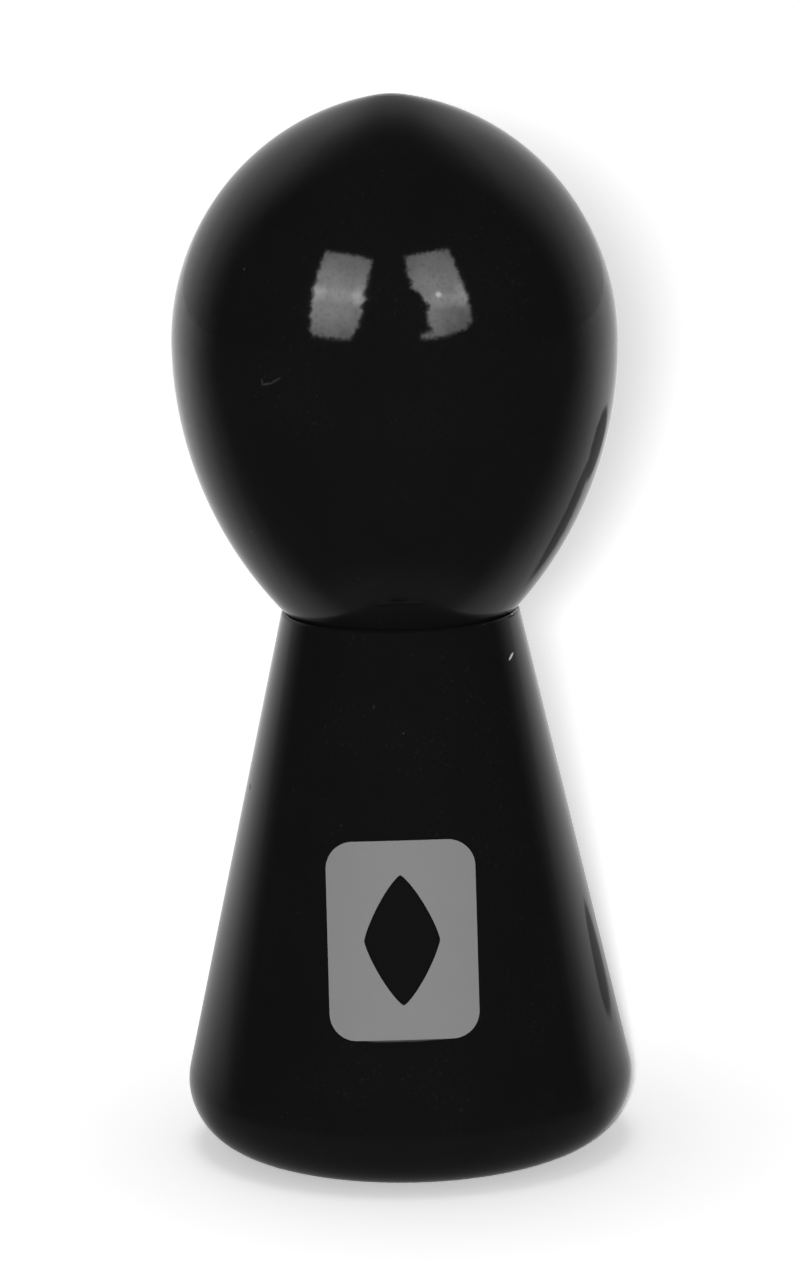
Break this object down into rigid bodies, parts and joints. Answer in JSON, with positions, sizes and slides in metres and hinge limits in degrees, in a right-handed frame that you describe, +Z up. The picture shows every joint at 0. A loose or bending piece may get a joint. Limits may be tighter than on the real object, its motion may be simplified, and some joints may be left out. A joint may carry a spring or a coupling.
{
  "type": "game piece",
  "caption": "Turned playing figure: egg-shaped lacquered head dowelled into the dished collar of a tapering body, with a rounded foot, felt underside and a small blank-style label.",
  "frame": {"origin": "centre of the felt's underside, where the axis meets the table", "axes": "+Z up along the axis of the head and the body, -Y out of the front, where the label is, +X to the viewer's right"},
  "size_m": [0.0254, 0.0254, 0.06],
  "materials": {
    "head_lacquer": "gloss black lacquer over turned wood",
    "body_lacquer": "gloss black lacquer over turned wood",
    "dowel_wood": "bare beech",
    "label_film": "matt grey film",
    "slug_steel": "turned, unpolished",
    "felt": "pressed felt"
  },
  "bodies": {
    "root": {"head": "head_lacquer", "body": "body_lacquer", "neck_dowel": "dowel_wood", "label": "label_film", "base_weight": "slug_steel", "base_felt": "felt"}
  },
  "joints": []
}
